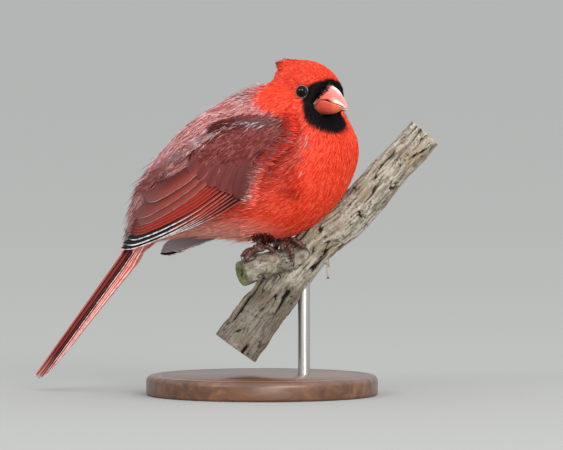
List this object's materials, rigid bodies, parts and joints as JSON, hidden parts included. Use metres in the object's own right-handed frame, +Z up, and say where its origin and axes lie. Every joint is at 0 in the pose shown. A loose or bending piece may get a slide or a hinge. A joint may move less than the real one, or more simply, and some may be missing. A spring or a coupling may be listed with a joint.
{
  "type": "northern cardinal",
  "caption": "Male northern cardinal as a still life-size model, fluffed up, head turned, wings folded and tail hanging, gripping a short cut branch on a round stand.",
  "frame": {"origin": "middle of the stand's flat underside", "axes": "+Z up, +X the way the bill points in the side view, -Y towards the viewer of the picture"},
  "size_m": [0.2035, 0.116, 0.168],
  "materials": {
    "body_feathers": "matte, fine hair-like barbs",
    "wing_feathers": "satin vanes",
    "tail_feathers": "satin vanes",
    "bill_horn": "satin horn",
    "claw_horn": "satin horn",
    "scaled_skin": "fine scales",
    "eye": "wet gloss",
    "bark": "rough weathered bark",
    "turned_wood": "oiled",
    "steel_rod": "brushed"
  },
  "bodies": {
    "root": {"bill_lower": "bill_horn", "bill_upper": "bill_horn", "claw_left_hind": "claw_horn", "claw_left_inner": "claw_horn", "claw_left_middle": "claw_horn", "claw_left_outer": "claw_horn", "claw_right_hind": "claw_horn", "claw_right_inner": "claw_horn", "claw_right_middle": "claw_horn", "claw_right_outer": "claw_horn", "eye_left": "eye", "eye_right": "eye", "foot_left": "scaled_skin", "foot_right": "scaled_skin", "head": "body_feathers", "leg_left": "scaled_skin", "leg_right": "scaled_skin", "neck": "body_feathers", "perch": "bark", "stand_base": "turned_wood", "stand_rod": "steel_rod", "tail": "tail_feathers", "torso": "body_feathers", "wing_left": "wing_feathers", "wing_right": "wing_feathers"}
  },
  "joints": []
}
